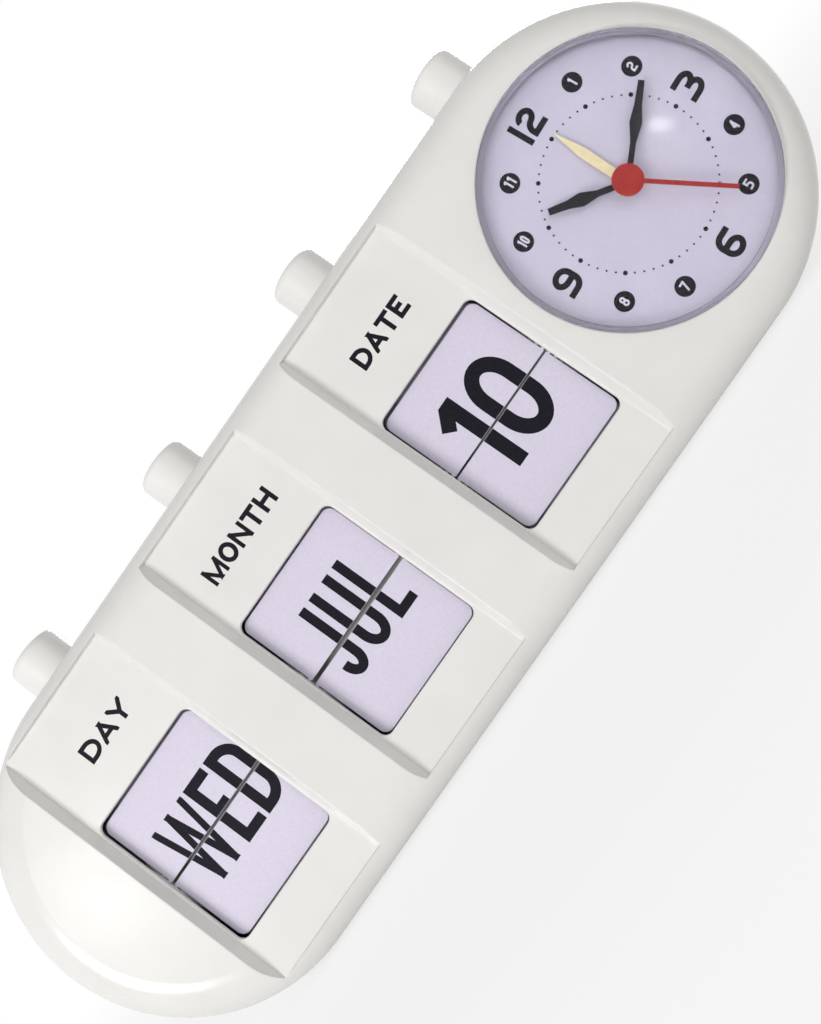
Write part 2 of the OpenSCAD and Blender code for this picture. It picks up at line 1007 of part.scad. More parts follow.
module alarm_hand() {
    color(cream)
        hand(alarm_y, 0, alarm_hub, alarm_out)
            polygon([[-1, 0], [-1.1, alarm_len * 0.6], [0, alarm_len], [1.1, alarm_len * 0.6], [1, 0]]);
}

// Frame of a calendar unit: two side plates and the bridge that guides the button
module unit_frame(u) {
    slot_low = arm_low - travel - arm_gap;
    color(inner_grey)
        tilted()
            translate([unit_xs[u], 0, 0])
                difference() {
                    union() {
                        for (x = [-plate_out, plate_in])
                            translate([x, floor_back, frame_low])
                                cube([plate_t, frame_back - floor_back, bridge_top - frame_low]);
                        translate([-plate_out, floor_back, bridge_low])
                            cube([2 * plate_out, frame_back - floor_back, bridge_t]);
                    }
                    translate([0, drum_y, drum_z])
                        along_length(axle_d / 2 + run_gap, -plate_out - 1, plate_out + 1);
                    translate([0, button_depth, bridge_low - 1])
                        cylinder(r = stem_d / 2 + run_gap, h = bridge_t + 2);
                    translate([-plate_out - 1, button_depth - arm_w / 2 - arm_gap, slot_low])
                        cube([plate_t + 2, arm_w + 2 * arm_gap, arm_top + arm_gap - slot_low]);
                }
}

module unit_button(u) {
    color(case_white)
        tilted()
            translate([unit_xs[u], 0, 0])
                push_button(flange_top, arm_top);
}

module unit_spring(u) {
    color(steel)
        tilted()
            translate([unit_xs[u], 0, 0])
                return_spring(bridge_top, flange_low);
}

// Pawl: an arm from the button's stem and a finger that pushes the ratchet
module unit_pawl(u) {
    step = 360 / unit_leaves[u];
    tip_r = ratchet_r(u) + tooth_h / 2;
    finger_y = drum_y - tip_r - pawl_gap;
    nib_z = drum_z + ratchet_r(u) * sin(step / 2) + pawl_gap;
    color(steel)
        tilted()
            translate([unit_xs[u], 0, 0]) {
                translate([-ratchet_out, button_depth - arm_w / 2, arm_low])
                    cube([ratchet_out + stem_d / 2, arm_w, arm_t]);
                translate([-ratchet_out, finger_y - pawl_w, arm_low])
                    cube([ratchet_t, button_depth - finger_y + pawl_w, arm_t]);
                translate([-ratchet_out, finger_y - pawl_w, nib_z])
                    cube([ratchet_t, pawl_w, arm_top - nib_z]);
                translate([-ratchet_out, 0, 0])
                    rotate([90, 0, 90])
                        linear_extrude(ratchet_t)
                            polygon([
                                [finger_y - eps, nib_z],
                                [finger_y + pawl_gap + nib_h, nib_z],
                                [finger_y - eps, nib_z + nib_slope]
                            ]);
            }
}

// Places children at a drum's axis
module at_drum(u) {
    tilted()
        translate([unit_xs[u], drum_y, drum_z])
            children();
}

// Places children at the pivot that stands at the angle phi above the front of the drum
module at_pivot(phi) {
    translate([0, -pivot_r * cos(phi), pivot_r * sin(phi)])
        children();
}

module unit_drum(u) {
    n = unit_leaves[u];
    color(inner_grey)
        at_drum(u)
            difference() {
                union() {
                    along_length(hub_r, -disc_out, disc_out);
                    for (x = [-disc_out, disc_in])
                        along_length(disc_r, x, x + disc_t);
                }
                along_length(axle_d / 2, -disc_out - 1, disc_out + 1);
                for (k = [0 : n - 1], x = [-disc_out, disc_in])
                    at_pivot((k + 0.5) * 360 / n)
                        along_length(pin_d / 2 + run_gap, x - 1, x + disc_t + 1);
            }
}

module unit_axle(u) {
    color(steel)
        at_drum(u)
            along_length(axle_d / 2, -ratchet_out - axle_cap, plate_out + axle_cap);
}

// Saw-tooth wheel whose steep faces meet the pawl
module unit_ratchet(u) {
    n = unit_leaves[u];
    tip_r = ratchet_r(u) + tooth_h / 2;
    root_r = ratchet_r(u) - tooth_h / 2;
    color(brass)
        at_drum(u)
            translate([-ratchet_out, 0, 0])
                rotate([90, 0, 90])
                    difference() {
                        linear_extrude(ratchet_t)
                            polygon([
                                for (k = [0 : n - 1], c = [[root_r, -0.5, eps], [tip_r, 0.5, 0]])
                                    let (phi = (k + c[1]) * 360 / n + c[2])
                                        [-c[0] * cos(phi), c[0] * sin(phi)]
                            ]);
                        translate([0, 0, -1])
                            cylinder(d = axle_d, h = ratchet_t + 2);
                    }
}

// Card leaf that stands up from its pivot
module leaf() {
    plate(-leaf_t / 2, leaf_t / 2) {
        translate([-leaf_w / 2, -leaf_foot])
            square([leaf_w, leaf_foot + leaf_len - window_r]);
        translate([-leaf_w / 2 + window_r, 0])
            square([leaf_w - 2 * window_r, leaf_len]);
        translate([-leaf_w / 2 - leaf_tab, -leaf_root])
            square([leaf_w + 2 * leaf_tab, 2 * leaf_root]);
        for (side = [-1, 1])
            translate([side * (leaf_w / 2 - window_r), leaf_len - window_r])
                circle(window_r);
    }
    for (side = [0, 1])
        mirror([side, 0, 0])
            along_length(pin_d / 2, leaf_w / 2 + leaf_tab - eps, disc_out - seat_gap);
}

// Leaves that wait behind the upper card or lie behind the lower card
module unit_leaf_pack(u) {
    n = unit_leaves[u];
    step = 360 / n;
    upper = ceil(n / 2);
    color(card_white)
        at_drum(u)
            for (k = [1 : n - 1]) {
                above = k < upper;
                place = above ? k : n - 1 - k;
                count = above ? upper : n - upper;
                turn = place == 0 ? 90 : 90 + step + (fan_back - 90 - step) * (place - 1) / (count - 2);
                mirror([0, 0, above ? 0 : 1])
                    at_pivot((place + 0.5) * step)
                        rotate([90 - turn, 0, 0])
                            leaf();
            }
}

// Upper card that falls over the split at each step
module unit_flip_leaf(u) {
    color(card_white)
        at_drum(u)
            at_pivot(180 / unit_leaves[u])
                leaf();
}

front_shell();
back_shell();
battery_door();
feet();
case_screws();
lens();
dial_plate();
movement_case();
movement_cover();
circuit_board();
coil();
buzzer();
battery();
battery_tray();
battery_contacts();
alarm_switch();
alarm_button();
alarm_button_spring();
hour_hand();
minute_hand();
second_hand();
alarm_hand();
hour_wheel();
minute_arbor();
idler_wheel();
second_arbor();
alarm_wheel();
alarm_set_arbor();
time_set_knob();
alarm_set_knob();
unit_frame(0);  // day_frame
unit_button(0);  // day_button
unit_pawl(0);  // day_pawl
unit_spring(0);  // day_button_spring
unit_drum(0);  // day_drum
unit_ratchet(0);  // day_ratchet
unit_axle(0);  // day_axle
unit_leaf_pack(0);  // day_leaf_pack
unit_flip_leaf(0);  // day_flip_leaf
unit_frame(1);  // month_frame
unit_button(1);  // month_button
unit_pawl(1);  // month_pawl
unit_spring(1);  // month_button_spring
unit_drum(1);  // month_drum
unit_ratchet(1);  // month_ratchet
unit_axle(1);  // month_axle
unit_leaf_pack(1);  // month_leaf_pack
unit_flip_leaf(1);  // month_flip_leaf
unit_frame(2);  // date_frame
unit_button(2);  // date_button
unit_pawl(2);  // date_pawl
unit_spring(2);  // date_button_spring
unit_drum(2);  // date_drum
unit_ratchet(2);  // date_ratchet
unit_axle(2);  // date_axle
unit_leaf_pack(2);  // date_leaf_pack
unit_flip_leaf(2);  // date_flip_leaf
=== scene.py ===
import json
import math

import bmesh
import bpy
from mathutils import Matrix, Vector
from mathutils.geometry import delaunay_2d_cdt


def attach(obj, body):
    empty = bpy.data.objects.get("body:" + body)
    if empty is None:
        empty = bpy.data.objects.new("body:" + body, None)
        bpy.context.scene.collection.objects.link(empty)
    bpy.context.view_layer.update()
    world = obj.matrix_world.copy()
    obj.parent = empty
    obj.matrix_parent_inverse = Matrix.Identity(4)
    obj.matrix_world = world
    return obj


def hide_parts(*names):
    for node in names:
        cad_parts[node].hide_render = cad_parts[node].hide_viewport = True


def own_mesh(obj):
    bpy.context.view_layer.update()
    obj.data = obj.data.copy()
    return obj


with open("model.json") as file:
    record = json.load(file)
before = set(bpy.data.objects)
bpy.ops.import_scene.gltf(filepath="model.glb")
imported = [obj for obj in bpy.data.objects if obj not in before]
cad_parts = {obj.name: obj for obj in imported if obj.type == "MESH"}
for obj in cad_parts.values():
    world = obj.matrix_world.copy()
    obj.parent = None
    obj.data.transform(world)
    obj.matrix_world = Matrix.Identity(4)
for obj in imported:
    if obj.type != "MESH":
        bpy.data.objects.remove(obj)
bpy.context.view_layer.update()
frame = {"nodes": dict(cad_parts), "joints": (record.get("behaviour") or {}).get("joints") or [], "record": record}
nodes = frame["nodes"]
joints = {j["name"]: j for j in frame["joints"]}

# Sizes of the clock are in millimetres, and MM makes them metres. The clock has a leaning frame:
# x along the case, y into it and z up its front.
MM = 0.001
ALONG = Vector((1, 0, 0))
INWARD = Vector(joints["battery_door_pull"]["axis"])
UPWARD = -Vector(joints["alarm_button_press"]["axis"])
AXIS_DEPTH = 4.0
CLOCK = Vector(joints["minute_hand_turn"]["pos_m"]) - AXIS_DEPTH * MM * INWARD

UNITS = ("day", "month", "date")
WORDS = {"day": "WED", "month": "JUL", "date": "10"}
NEXT_WORDS = {"day": "THU", "month": "AUG", "date": "11"}
LABELS = {"day": "DAY", "month": "MONTH", "date": "DATE"}


def axes_matrix(x_axis, y_axis, z_axis, origin):
    """A frame with the given axes and origin."""
    rows = [[x_axis[i], y_axis[i], z_axis[i], origin[i]] for i in range(3)]
    return Matrix(rows + [[0, 0, 0, 1]])


def front_matrix(origin):
    """The leaning frame with its origin at a point."""
    return axes_matrix(ALONG, INWARD, UPWARD, origin)


def turn_about(point, angle):
    """A turn about the line along the case through a point."""
    return Matrix.Translation(point) @ Matrix.Rotation(angle, 4, "X") @ Matrix.Translation(-point)


def drum_axis(unit):
    """The middle of a drum."""
    return Vector(joints[unit + "_drum_turn"]["pos_m"])


def leaf_pivot(unit):
    """The middle of the hinge of the leaf that falls."""
    return Vector(joints[unit + "_leaf_fall"]["pos_m"])


def leaf_step(unit):
    """The drum's turn from one leaf to the next."""
    return math.radians(joints[unit + "_drum_turn"]["range_deg"][1])


def add_piece(name, bm, matrix, body, finish):
    """Turns a mesh in millimetres into a piece that rides a body."""
    mesh = bpy.data.meshes.new(name)
    bm.to_mesh(mesh)
    bm.free()
    mesh.transform(Matrix.Scale(MM, 4))
    mesh.transform(matrix)
    mesh.materials.append(finish.material)
    piece = bpy.data.objects.new(name, mesh)
    bpy.context.scene.collection.objects.link(piece)
    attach(piece, body)
    return piece


# Materials

EVEN = (1, 1, 1)
TOOL_LINES = (0.15, 1, 1)
SHADE_ENDS = (0.3, 0.7)
BEVEL_SAMPLES = 6
ORANGE_PEEL = {"height_mm": 0.004, "size_mm": 1.6}
FINE_GRAIN = {"height_mm": 0.02, "size_mm": 0.35}
LENS_IOR = 1.2


def linear(rgb):
    """Colour values as seen on a screen, made linear by the sRGB curve."""
    return tuple(c / 12.92 if c <= 0.04045 else ((c + 0.055) / 1.055) ** 2.4 for c in rgb) + (1.0,)


class Finish:
    """A material with its shader and a few ways to add detail to it."""

    def __init__(self, name, roughness, metallic=0.0):
        self.material = bpy.data.materials.new(name)
        self.material.use_nodes = True
        self.tree = self.material.node_tree
        self.shader = self.tree.nodes["Principled BSDF"]
        self.shader.inputs["Roughness"].default_value = roughness
        self.shader.inputs["Metallic"].default_value = metallic
        self.place = self.tree.nodes.new("ShaderNodeTexCoord").outputs["Object"]
        self.edges = None

    def set(self, **values):
        """Sets constants of the shader, with _ for a space in their names."""
        for key, value in values.items():
            self.shader.inputs[key.replace("_", " ")].default_value = value
        return self

    def noise(self, size_mm, detail, stretch):
        """A noise between zero and one, with spots of about the given size."""
        mapping = self.tree.nodes.new("ShaderNodeMapping")
        mapping.inputs["Scale"].default_value = stretch
        texture = self.tree.nodes.new("ShaderNodeTexNoise")
        texture.inputs["Scale"].default_value = 1 / (size_mm * MM)
        texture.inputs["Detail"].default_value = detail
        self.tree.links.new(self.place, mapping.inputs["Vector"])
        self.tree.links.new(mapping.outputs["Vector"], texture.inputs["Vector"])
        return texture.outputs["Fac"]

    def colour(self, dark, light, size_mm, detail=3.0, stretch=EVEN):
        """Mottles the colour between two shades."""
        ramp = self.tree.nodes.new("ShaderNodeValToRGB")
        for element, position, shade in zip(ramp.color_ramp.elements, SHADE_ENDS, (dark, light)):
            element.position = position
            element.color = linear(shade)
        self.tree.links.new(self.noise(size_mm, detail, stretch), ramp.inputs["Fac"])
        self.tree.links.new(ramp.outputs["Color"], self.shader.inputs["Base Color"])
        return self

    def gloss(self, low, high, size_mm, detail=2.0, stretch=EVEN):
        """Varies the roughness between two values."""
        span = self.tree.nodes.new("ShaderNodeMapRange")
        span.inputs["To Min"].default_value = low
        span.inputs["To Max"].default_value = high
        self.tree.links.new(self.noise(size_mm, detail, stretch), span.inputs["Value"])
        self.tree.links.new(span.outputs["Result"], self.shader.inputs["Roughness"])
        return self

    def soft_edges(self, radius_mm):
        """Rounds the sharp edges a little, as a mould does; comes before bump."""
        bevel = self.tree.nodes.new("ShaderNodeBevel")
        bevel.samples = BEVEL_SAMPLES
        bevel.inputs["Radius"].default_value = radius_mm * MM
        self.edges = bevel.outputs["Normal"]
        return self

    def bump(self, height_mm, size_mm, detail=2.0, stretch=EVEN):
        """Gives the surface a fine relief."""
        bump = self.tree.nodes.new("ShaderNodeBump")
        bump.inputs["Distance"].default_value = height_mm * MM
        bump.inputs["Strength"].default_value = 1.0
        self.tree.links.new(self.noise(size_mm, detail, stretch), bump.inputs["Height"])
        if self.edges:
            self.tree.links.new(self.edges, bump.inputs["Normal"])
        self.tree.links.new(bump.outputs["Normal"], self.shader.inputs["Normal"])
        return self


def moulded(name, dark, light, rough, edge_mm=0.25, grain=ORANGE_PEEL):
    """Moulded plastic: faint mottling, uneven gloss, soft edges, and an orange peel or a grain."""
    smoothest, roughest = rough
    finish = Finish(name, smoothest).colour(dark, light, size_mm=14).soft_edges(edge_mm)
    return finish.gloss(smoothest, roughest, size_mm=5).bump(**grain)


def printed(name, dark, light, rough):
    """Paper, card or ink with a fine tooth."""
    uneven = 0.08
    finish = Finish(name, rough).colour(dark, light, size_mm=0.6, detail=4.0)
    finish.gloss(rough - uneven, rough + uneven, size_mm=2)
    return finish.bump(height_mm=0.006, size_mm=0.25)


def painted(name, dark, light, rough):
    """A smooth coat of paint."""
    smoother = 0.06
    rougher = 0.08
    finish = Finish(name, rough).colour(dark, light, size_mm=1.2)
    finish.gloss(rough - smoother, rough + rougher, size_mm=0.8)
    return finish.bump(height_mm=0.002, size_mm=0.3)


def turned_metal(name, dark, light, rough):
    """Bare metal with fine tool lines."""
    smoother = 0.08
    rougher = 0.12
    finish = Finish(name, rough, metallic=1.0).colour(dark, light, size_mm=0.5, stretch=TOOL_LINES)
    finish.gloss(rough - smoother, rough + rougher, size_mm=0.4, stretch=TOOL_LINES)
    return finish.bump(height_mm=0.002, size_mm=0.25, stretch=TOOL_LINES)


def clear_lens():
    """Clear plastic with faint waves; its low index keeps the dial's print dark in a white room."""
    finish = Finish("lens_clear", 0.1).set(Transmission_Weight=1.0, IOR=LENS_IOR)
    finish.colour((0.985, 0.985, 0.99), (1, 1, 1), size_mm=9)
    return finish.gloss(0.08, 0.13, size_mm=6).bump(height_mm=0.02, size_mm=7)


FINISHES = {
    "case_plastic": moulded("case_white", (0.925, 0.915, 0.9), (0.942, 0.934, 0.92),
                            rough=(0.17, 0.23), edge_mm=0.6).set(Specular_IOR_Level=0.4),
    "button_plastic": moulded("button_white", (0.945, 0.938, 0.925), (0.96, 0.954, 0.942),
                              rough=(0.18, 0.25), edge_mm=0.4),
    "card": printed("card_lavender", (0.855, 0.828, 0.9), (0.882, 0.856, 0.925), rough=0.45),
    "dial": printed("dial_lavender", (0.785, 0.762, 0.838), (0.806, 0.783, 0.86), rough=0.5),
    "lens": clear_lens(),
    "hand_black": painted("hand_black", (0.06, 0.05, 0.08), (0.11, 0.10, 0.13),
                          rough=0.35).set(Specular_IOR_Level=0.2),
    "hand_red": painted("hand_red", (0.60, 0.12, 0.11), (0.68, 0.17, 0.15),
                        rough=0.38).set(Specular_IOR_Level=0.2),
    "hand_cream": painted("hand_cream", (0.90, 0.84, 0.66), (0.94, 0.89, 0.73), rough=0.45),
    "frame_plastic": moulded("frame_natural", (0.80, 0.80, 0.78), (0.86, 0.86, 0.84), rough=(0.45, 0.6)),
    "steel": turned_metal("steel_plain", (0.66, 0.67, 0.69), (0.80, 0.80, 0.82), rough=0.32),
    "brass": turned_metal("brass_plain", (0.74, 0.58, 0.30), (0.86, 0.71, 0.42), rough=0.3),
    "knob_black": moulded("knob_black", (0.06, 0.06, 0.065), (0.11, 0.11, 0.115), rough=(0.4, 0.55)),
    "board": painted("board_green", (0.08, 0.30, 0.16), (0.14, 0.40, 0.23), rough=0.4),
    "cell": painted("cell_sleeve", (0.20, 0.22, 0.26), (0.30, 0.32, 0.36), rough=0.3),
    "foot_rubber": moulded("foot_rubber", (0.58, 0.58, 0.56), (0.66, 0.66, 0.64), rough=(0.7, 0.85)),
}
INK = printed("ink_black", (0.06, 0.05, 0.09), (0.10, 0.09, 0.13), rough=0.5).set(Specular_IOR_Level=0.12)
PAPER_INK = printed("ink_pale", (0.82, 0.80, 0.87), (0.87, 0.85, 0.91), rough=0.5)

# The back is grained, though it shares the front's material slot
BACK_FINISH = moulded("case_back_white", (0.9, 0.89, 0.875), (0.925, 0.916, 0.9),
                      rough=(0.36, 0.48), edge_mm=0.4, grain=FINE_GRAIN)
BACK_NODES = ("back_shell", "battery_door")

for entry in frame["record"]["subparts"]:
    finish = BACK_FINISH if entry["node"] in BACK_NODES else FINISHES[entry["material_slot"]]
    mesh = nodes[entry["node"]].data
    mesh.materials.clear()
    mesh.materials.append(finish.material)


# Lettering: each letter is a few strokes in a unit box, and a third number rounds that corner

ROUND = 0.5
SOFT = 0.36
OVAL = [[(0.5, 0), (1, 0, ROUND), (1, 1, ROUND), (0, 1, ROUND), (0, 0, ROUND), (0.5, 0)]]
LETTERS = {
    "A": [[(0, 0), (0.5, 1)], [(1, 0), (0.5, 1)], [(0.2, 0.25), (0.8, 0.25)]],
    "D": [[(0, 0), (1, 0, ROUND), (1, 1, ROUND), (0, 1), (0, 0)]],
    "E": [[(1, 1), (0, 1), (0, 0), (1, 0)], [(0, 0.52), (0.9, 0.52)]],
    "G": [[(1, 0.74), (1, 1, ROUND), (0, 1, ROUND), (0, 0, ROUND), (1, 0, ROUND),
           (1, 0.46), (0.55, 0.46)]],
    "H": [[(0, 0), (0, 1)], [(1, 0), (1, 1)], [(0, 0.52), (1, 0.52)]],
    "I": [[(0.5, 0), (0.5, 1)]],
    "J": [[(1, 1), (1, 0, ROUND), (0, 0, ROUND), (0, 0.2)]],
    "L": [[(0, 1), (0, 0), (1, 0)]],
    "M": [[(0, 0), (0, 1)], [(0, 1), (0.5, 0)], [(0.5, 0), (1, 1)], [(1, 1), (1, 0)]],
    "N": [[(0, 0), (0, 1)], [(0, 1), (1, 0)], [(1, 0), (1, 1)]],
    "O": OVAL,
    "T": [[(0, 1), (1, 1)], [(0.5, 0), (0.5, 1)]],
    "U": [[(0, 1), (0, 0, ROUND), (1, 0, ROUND), (1, 1)]],
    "W": [[(0, 1), (0.25, 0)], [(0.25, 0), (0.5, 1)], [(0.5, 1), (0.75, 0)], [(0.75, 0), (1, 1)]],
    "Y": [[(0, 1), (0.5, 0.42)], [(1, 1), (0.5, 0.42)], [(0.5, 0.46), (0.5, 0)]],
    "0": OVAL,
    "1": [[(1, 0), (1, 1)], [(0, 0.82), (1, 1.06)]],
    "2": [[(0, 0.78), (0, 1, SOFT), (1, 1, SOFT), (1, 0.5, SOFT), (0, 0.45, SOFT), (0, 0), (1, 0)]],
    "3": [[(0, 1), (1, 1, SOFT), (1, 0.52, SOFT), (0.3, 0.52)],
          [(0.3, 0.52), (1, 0.52, SOFT), (1, 0, SOFT), (0, 0)]],
    "4": [[(0.72, 0), (0.72, 1)], [(0.72, 1), (0, 0.3)], [(0, 0.3), (1, 0.3)]],
    "5": [[(1, 1), (0.04, 1), (0.04, 0.58), (1, 0.58, SOFT), (1, 0, SOFT), (0, 0)]],
    "6": [[(0.8, 1), (0, 1, SOFT), (0, 0, SOFT), (1, 0, SOFT), (1, 0.55, SOFT), (0, 0.55)]],
    "7": [[(0, 1), (1, 1)], [(1, 1), (0.35, 0)]],
    "8": [[(0.5, 0), (1, 0, SOFT), (1, 0.52, SOFT), (0, 0.52, SOFT), (0, 0, SOFT), (0.5, 0)],
          [(0.5, 0.52), (0.94, 0.52, SOFT), (0.94, 1, SOFT), (0.06, 1, SOFT), (0.06, 0.52, SOFT),
           (0.5, 0.52)]],
    "9": [[(0.2, 0), (1, 0, SOFT), (1, 1, SOFT), (0, 1, SOFT), (0, 0.45, SOFT), (1, 0.45)]],
}
# Shares of the usual stroke and of the usual width
SLIM = {"W": 0.64, "M": 0.85, "N": 0.9, "A": 0.95}
WIDTHS = {"1": 0.65, "I": 0.3, "J": 0.85, "L": 0.85, "E": 0.85, "W": 1.4, "M": 1.2}
ARC_STEPS = 10
ARC_PULL = 0.552
SHARED_LEG = 0.5
MITRE_LIMIT = 0.5
SAME_POINT = 1e-3
SHEET_TOLERANCE = 1e-5
HULL_TRIANGLES = 0
FLAT_ANGLE = 0.01
INK_T = 0.01


def same(a, b):
    """Whether two points are one."""
    return (a - b).length < SAME_POINT


def rounded(points):
    """A path in millimetres, with arcs at the corners that have a radius."""
    path = []
    for i, (x, z, r) in enumerate(points):
        here = Vector((x, z))
        if r == 0 or i in (0, len(points) - 1):
            path.append(here)
            continue
        legs = []
        for near in (points[i - 1], points[i + 1]):
            leg = Vector(near[:2]) - here
            free = leg.length * (SHARED_LEG if near[2] else 1.0)
            legs.append(leg.normalized() * min(r, free))
        start, end = here + legs[0], here + legs[1]
        pull_a, pull_b = start.lerp(here, ARC_PULL), end.lerp(here, ARC_PULL)
        for k in range(ARC_STEPS + 1):
            t = k / ARC_STEPS
            s = 1 - t
            path.append(s ** 3 * start + 3 * s * s * t * pull_a + 3 * s * t * t * pull_b + t ** 3 * end)
    clean = [path[0]]
    for p in path[1:]:
        if not same(p, clean[-1]):
            clean.append(p)
    return clean


def stroke_outlines(path, width):
    """Four-cornered outlines along a path, with mitred corners.

    A path that ends where it starts is a ring.
    """
    ring = same(path[0], path[-1])
    if ring:
        path = path[:-1]
    count = len(path)
    rails = []
    for i, p in enumerate(path):
        ways = []
        if ring or i > 0:
            ways.append((p - path[i - 1]).normalized())
        if ring or i < count - 1:
            ways.append((path[(i + 1) % count] - p).normalized())
        mean = sum(ways, Vector((0, 0))).normalized()
        normal = Vector((-mean.y, mean.x))
        slant = normal.dot(Vector((-ways[0].y, ways[0].x)))
        reach = width / 2 / max(MITRE_LIMIT, slant)
        rails.append((p + normal * reach, p - normal * reach))
    pairs = zip(rails, rails[1:] + rails[:1] if ring else rails[1:])
    return [[b[0], a[0], a[1], b[1]] for a, b in pairs]


def joined(outlines):
    """One flat sheet over all the outlines, with nothing doubled."""
    points, faces = [], []
    for outline in outlines:
        faces.append(list(range(len(points), len(points) + len(outline))))
        points += outline
    sheet = delaunay_2d_cdt(points, [], faces, HULL_TRIANGLES, SHEET_TOLERANCE)
    corners, _, triangles, _, _, owners = sheet
    bm = bmesh.new()
    verts = [bm.verts.new((c.x, 0, c.y)) for c in corners]
    for triangle, owner in zip(triangles, owners):
        if owner:
            bm.faces.new([verts[i] for i in triangle])
    bmesh.ops.delete(bm, geom=[v for v in bm.verts if not v.link_faces], context="VERTS")
    return bm


def clip(bm, point, normal):
    """Removes what lies beyond a plane."""
    geometry = bm.verts[:] + bm.edges[:] + bm.faces[:]
    bmesh.ops.bisect_plane(bm, geom=geometry, plane_co=point, plane_no=normal, clear_outer=True)


def letter(char, wide, high, stroke):
    """One letter in millimetres, its lower left corner at the origin.

    Strokes that end on the top or bottom line run past it first, and are then cut off level.
    """
    outlines = []
    stroke *= SLIM.get(char, 1.0)
    for strokes in LETTERS[char]:
        points = []
        for p in strokes:
            x = stroke / 2 + p[0] * (wide - stroke)
            z = stroke / 2 + p[1] * (high - stroke)
            radius = p[2] * min(wide, high) if len(p) > 2 else 0
            points.append((x, z, radius))
        path = rounded(points)
        if not same(path[0], path[-1]):
            for end, inner, spec in ((0, 1, strokes[0]), (-1, -2, strokes[-1])):
                if spec[1] in (0, 1):
                    path[end] = path[end] + (path[end] - path[inner]).normalized() * stroke
        outlines += stroke_outlines(path, stroke)
    bm = joined(outlines)
    for point, normal in (((0, 0, 0), (0, 0, -1)), ((0, 0, high), (0, 0, 1)),
                          ((0, 0, 0), (-1, 0, 0)), ((wide, 0, 0), (1, 0, 0))):
        clip(bm, point, normal)
    return bm


def word(text, wide, high, stroke, gap):
    """A line of letters centred on the origin, its total width and height in millimetres."""
    shares = [WIDTHS.get(c, 1.0) for c in text]
    unit = (wide - gap * (len(text) - 1)) / sum(shares)
    whole = bmesh.new()
    x = -wide / 2
    for char, share in zip(text, shares):
        bm = letter(char, share * unit, high, stroke)
        bmesh.ops.translate(bm, verts=bm.verts, vec=(x, 0, -high / 2))
        part = bpy.data.meshes.new("letter")
        bm.to_mesh(part)
        bm.free()
        whole.from_mesh(part)
        bpy.data.meshes.remove(part)
        x += share * unit + gap
    return whole


def ink_piece(name, bm, matrix, body, finish):
    """Turns flat lettering in millimetres into thin raised print on a body."""
    bmesh.ops.dissolve_limit(bm, angle_limit=FLAT_ANGLE, verts=bm.verts, edges=bm.edges)
    bmesh.ops.recalc_face_normals(bm, faces=bm.faces)
    raised = bmesh.ops.extrude_face_region(bm, geom=bm.faces[:])["geom"]
    top = [v for v in raised if isinstance(v, bmesh.types.BMVert)]
    bmesh.ops.translate(bm, verts=top, vec=(0, -INK_T, 0))
    bmesh.ops.recalc_face_normals(bm, faces=bm.faces)
    add_piece(name, bm, matrix, body, finish)


# Printed cards: the upper half is on the leaf that falls, the lower half on the first leaf below.
# Behind them is the next card, its lower half on the far side of the leaf that falls.

LEAF_T = 0.2
LEAF_FOOT = 0.55
PRINT_EDGE = 0.05
CARD_WORDS = {
    "day": {"wide": 26.5, "high": 17.6, "stroke": 2.3, "gap": 1.0, "x": 2.4, "z": 0.6},
    "month": {"wide": 21.5, "high": 18.2, "stroke": 2.1, "gap": 1.6, "x": 0.6, "z": 1.6},
    "date": {"wide": 20.5, "high": 20.6, "stroke": 3.2, "gap": 1.8, "x": -0.4, "z": 0.9},
}


def half_word(text, look, upper, leaf_edge):
    """The part of a card's word above or below the split, cut off at the leaf's edge."""
    bm = word(text, look["wide"], look["high"], look["stroke"], look["gap"])
    bmesh.ops.translate(bm, verts=bm.verts, vec=(look["x"], 0, look["z"]))
    sign = 1 if upper else -1
    clip(bm, (0, 0, sign * (leaf_edge + PRINT_EDGE)), (0, 0, -sign))
    return bm


for unit in UNITS:
    axis, pivot = drum_axis(unit), leaf_pivot(unit)
    face = pivot - LEAF_T / 2 * MM * INWARD
    lift = (pivot - axis).dot(UPWARD)
    leaf_edge = lift / MM - LEAF_FOOT
    at_split = front_matrix(face - lift * UPWARD)
    step_back = turn_about(axis, -leaf_step(unit))
    turned_over = turn_about(pivot, leaf_step(unit) - math.pi) @ step_back
    prints = (
        ("_upper_print", WORDS, True, at_split, "_flip_leaf"),
        ("_lower_print", WORDS, False, at_split, "_drum"),
        ("_next_upper_print", NEXT_WORDS, True, step_back @ at_split, "_drum"),
        ("_next_lower_print", NEXT_WORDS, False, turned_over @ at_split, "_flip_leaf"),
    )
    for ending, words, upper, place, body in prints:
        half = half_word(words[unit], CARD_WORDS[unit], upper, leaf_edge)
        ink_piece(unit + ending, half, place, unit + body, INK)


# Labels on the channel floors

CHANNEL_DEPTH = 3.0
LABEL_UP = 24.6
LABEL_HIGH = 4.5
LABEL_STROKE = 1.0
LABEL_GAP = 0.45
LABEL_WIDE = {"day": 14.6, "month": 22.6, "date": 16.4}
LABEL_X = {"day": 2.0, "month": 0.0, "date": -0.3}

for unit in UNITS:
    channel = CLOCK + (drum_axis(unit).x - CLOCK.x) * ALONG + CHANNEL_DEPTH * MM * INWARD
    place = channel + (LABEL_X[unit] * ALONG + LABEL_UP * UPWARD) * MM
    label = word(LABELS[unit], LABEL_WIDE[unit], LABEL_HIGH, LABEL_STROKE, LABEL_GAP)
    ink_piece(unit + "_label", label, front_matrix(place), "case", INK)


# Printed dial: large numbers in ink, and small pale ones on discs of ink

